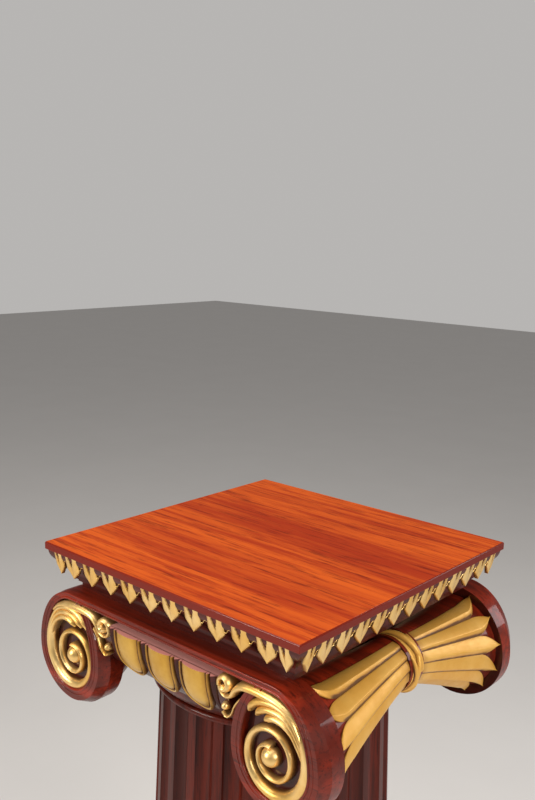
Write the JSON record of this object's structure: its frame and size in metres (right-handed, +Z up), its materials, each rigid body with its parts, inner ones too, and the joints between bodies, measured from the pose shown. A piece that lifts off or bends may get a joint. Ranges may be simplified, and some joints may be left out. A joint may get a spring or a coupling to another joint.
{
  "type": "display plinth",
  "caption": "Ionic column display plinth in lacquered mahogany, with gilded volutes, egg and leaf carving and a square flat top for a vase or bust.",
  "frame": {"origin": "centre of the underside, on the floor", "axes": "+Z up; the carved volute faces look along -Y and +Y, and the rolled bolsters lie on the -X and +X sides"},
  "size_m": [0.48, 0.44, 1.06],
  "materials": {
    "top_mahogany": "high gloss lacquer over red-orange mahogany grain",
    "dark_mahogany": "gloss lacquer over dark red-brown mahogany",
    "core_wood": "plain unfinished wood, hidden",
    "antiqued_gilding": "gold leaf with dark brown antiquing in the recesses",
    "fan_gilding": "satin gold paint",
    "rod_steel": "zinc plated",
    "glide_felt": "pressed felt"
  },
  "bodies": {
    "root": {"abacus_core": "core_wood", "base_lower_torus": "dark_mahogany", "base_scotia": "dark_mahogany", "base_upper_torus": "dark_mahogany", "bolster_left_back": "dark_mahogany", "bolster_left_front": "dark_mahogany", "bolster_right_back": "dark_mahogany", "bolster_right_front": "dark_mahogany", "capital_core": "core_wood", "echinus": "dark_mahogany", "egg_board_back": "dark_mahogany", "egg_board_front": "dark_mahogany", "fillet_board": "dark_mahogany", "floor_glides": "glide_felt", "gilt_eggs_back": "antiqued_gilding", "gilt_eggs_front": "antiqued_gilding", "gilt_eye_buttons": "antiqued_gilding", "gilt_fan_left_back": "fan_gilding", "gilt_fan_left_front": "fan_gilding", "gilt_fan_right_back": "fan_gilding", "gilt_fan_right_front": "fan_gilding", "gilt_husk_back_left": "antiqued_gilding", "gilt_husk_back_right": "antiqued_gilding", "gilt_husk_front_left": "antiqued_gilding", "gilt_husk_front_right": "antiqued_gilding", "gilt_leaves_back": "antiqued_gilding", "gilt_leaves_front": "antiqued_gilding", "gilt_leaves_left": "antiqued_gilding", "gilt_leaves_right": "antiqued_gilding", "gilt_spiral_back_left": "antiqued_gilding", "gilt_spiral_back_right": "antiqued_gilding", "gilt_spiral_front_left": "antiqued_gilding", "gilt_spiral_front_right": "antiqued_gilding", "gilt_tie_left": "fan_gilding", "gilt_tie_right": "fan_gilding", "leaf_moulding_back": "dark_mahogany", "leaf_moulding_front": "dark_mahogany", "leaf_moulding_left": "dark_mahogany", "leaf_moulding_right": "dark_mahogany", "neck_ring": "dark_mahogany", "plinth_block": "dark_mahogany", "rod_nuts": "rod_steel", "rod_washers": "rod_steel", "shaft_foot_plug": "core_wood", "shaft_stave_1": "dark_mahogany", "shaft_stave_2": "dark_mahogany", "shaft_stave_3": "dark_mahogany", "shaft_stave_4": "dark_mahogany", "shaft_stave_5": "dark_mahogany", "shaft_stave_6": "dark_mahogany", "shaft_stave_7": "dark_mahogany", "shaft_stave_8": "dark_mahogany", "shaft_top_plug": "core_wood", "tie_collars_left": "dark_mahogany", "tie_collars_right": "dark_mahogany", "tie_rod": "rod_steel", "top_board": "top_mahogany", "volute_panel_back": "dark_mahogany", "volute_panel_front": "dark_mahogany"}
  },
  "joints": []
}
